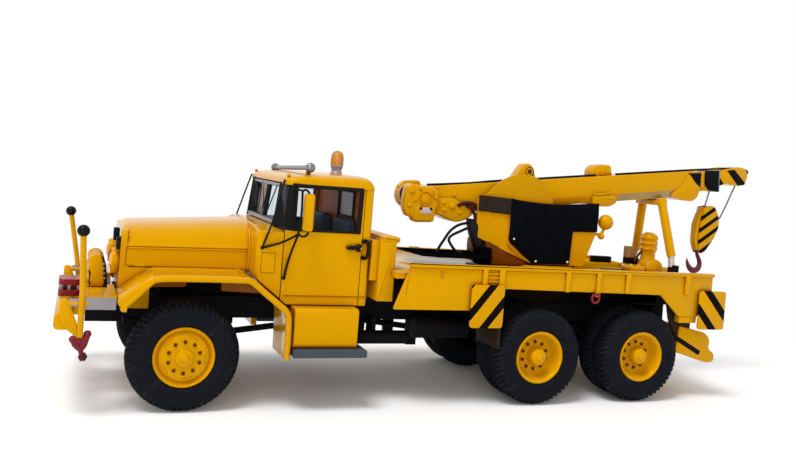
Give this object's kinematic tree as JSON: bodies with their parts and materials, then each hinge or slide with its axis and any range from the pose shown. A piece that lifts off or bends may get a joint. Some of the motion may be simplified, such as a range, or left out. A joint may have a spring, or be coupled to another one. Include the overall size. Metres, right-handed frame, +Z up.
{
  "type": "scale model of a six-wheel-drive tow truck with a slewing crane boom",
  "caption": "Scale-model recovery crane truck: bonneted cab, flat bed, slewing turret, lifting telescopic boom with hook block, rolling wheels.",
  "frame": {"origin": "on the floor under the middle of the model's length, on its centre line", "axes": "+X towards the truck's rear, +Y towards its right side, +Z up"},
  "size_m": [0.1742, 0.051, 0.0589],
  "materials": {
    "yellow_enamel": "glossy thick enamel",
    "black_enamel": "satin black enamel",
    "grey_enamel": "satin grey enamel",
    "red_enamel": "crimson enamel",
    "tyre_rubber": "matte",
    "chrome": "bright",
    "amber_lens": "clear amber",
    "window_pane": "clear",
    "black_canvas": "matte",
    "grey_seat": "matte",
    "black_hose": "matte",
    "steel_rope": "bright wire",
    "lamp_lens": "moulded lens",
    "striped_plate": "yellow with black diagonal stripes"
  },
  "bodies": {
    "chassis": {"frame_rails": "black_enamel", "front_axle": "black_enamel", "rear_bogie": "black_enamel", "driveline": "black_enamel", "engine_block": "black_enamel", "hood": "yellow_enamel", "grille": "yellow_enamel", "headlamps": "lamp_lens", "wings": "yellow_enamel", "side_boxes": "yellow_enamel", "step_plates": "grey_enamel", "cab_floor": "yellow_enamel", "cab_rear_wall": "yellow_enamel", "door_left": "yellow_enamel", "door_right": "yellow_enamel", "windscreen_frame": "yellow_enamel", "cab_roof": "yellow_enamel", "window_panes": "window_pane", "seats": "grey_seat", "dashboard": "black_enamel", "mirrors": "yellow_enamel", "roof_fittings": "chrome", "beacon_lens": "amber_lens", "front_bumper": "yellow_enamel", "tow_coupling": "red_enamel", "front_winch": "yellow_enamel", "under_tanks": "black_enamel", "headboard_box": "yellow_enamel", "deck": "yellow_enamel", "bed_sides": "yellow_enamel", "warning_plates": "striped_plate", "rear_bumper": "yellow_enamel", "boom_rest": "yellow_enamel", "rear_capstan": "yellow_enamel"},
    "wheel_front_left": {"tyre_front_left": "tyre_rubber", "rim_front_left": "yellow_enamel"},
    "wheel_mid_left": {"tyres_mid_left": "tyre_rubber", "rim_mid_left": "yellow_enamel"},
    "wheel_rear_left": {"tyres_rear_left": "tyre_rubber", "rim_rear_left": "yellow_enamel"},
    "wheel_front_right": {"tyre_front_right": "tyre_rubber", "rim_front_right": "yellow_enamel"},
    "wheel_mid_right": {"tyres_mid_right": "tyre_rubber", "rim_mid_right": "yellow_enamel"},
    "wheel_rear_right": {"tyres_rear_right": "tyre_rubber", "rim_rear_right": "yellow_enamel"},
    "turret": {"turret_housing": "yellow_enamel", "turret_platform": "black_enamel", "canvas_apron": "black_canvas", "mesh_guards": "yellow_enamel", "work_lamp": "yellow_enamel"},
    "boom": {"outer_boom": "yellow_enamel", "boom_gearbox": "yellow_enamel", "hydraulic_hoses": "black_hose"},
    "boom_stage": {"inner_boom": "yellow_enamel", "hook_block": "striped_plate", "hook": "red_enamel", "hoist_rope": "steel_rope"}
  },
  "joints": [
    {"name": "roll_front_left", "type": "hinge", "parent": "chassis", "child": "wheel_front_left", "pos_m": [-0.06343, -0.0191, 0.0109], "axis": [0, 1, 0], "continuous": true},
    {"name": "roll_mid_left", "type": "hinge", "parent": "chassis", "child": "wheel_mid_left", "pos_m": [0.01397, -0.0182, 0.0109], "axis": [0, 1, 0], "continuous": true},
    {"name": "roll_rear_left", "type": "hinge", "parent": "chassis", "child": "wheel_rear_left", "pos_m": [0.04147, -0.0182, 0.0109], "axis": [0, 1, 0], "continuous": true},
    {"name": "roll_front_right", "type": "hinge", "parent": "chassis", "child": "wheel_front_right", "pos_m": [-0.06343, 0.0191, 0.0109], "axis": [0, 1, 0], "continuous": true},
    {"name": "roll_mid_right", "type": "hinge", "parent": "chassis", "child": "wheel_mid_right", "pos_m": [0.01397, 0.0182, 0.0109], "axis": [0, 1, 0], "continuous": true},
    {"name": "roll_rear_right", "type": "hinge", "parent": "chassis", "child": "wheel_rear_right", "pos_m": [0.04147, 0.0182, 0.0109], "axis": [0, 1, 0], "continuous": true},
    {"name": "turret_slew", "type": "hinge", "parent": "chassis", "child": "turret", "pos_m": [0.02357, 0, 0.0292], "axis": [0, 0, 1], "range_deg": [-135, 135]},
    {"name": "boom_lift", "type": "hinge", "parent": "turret", "child": "boom", "pos_m": [0.01657, 0, 0.0464], "axis": [0, -1, 0], "range_deg": [0, 15], "deforming": ["hydraulic_hoses"]},
    {"name": "boom_extend", "type": "slide", "parent": "boom", "child": "boom_stage", "axis": [0.9925, 0, 0.1219], "range_m": [0, 0.024]}
  ]
}
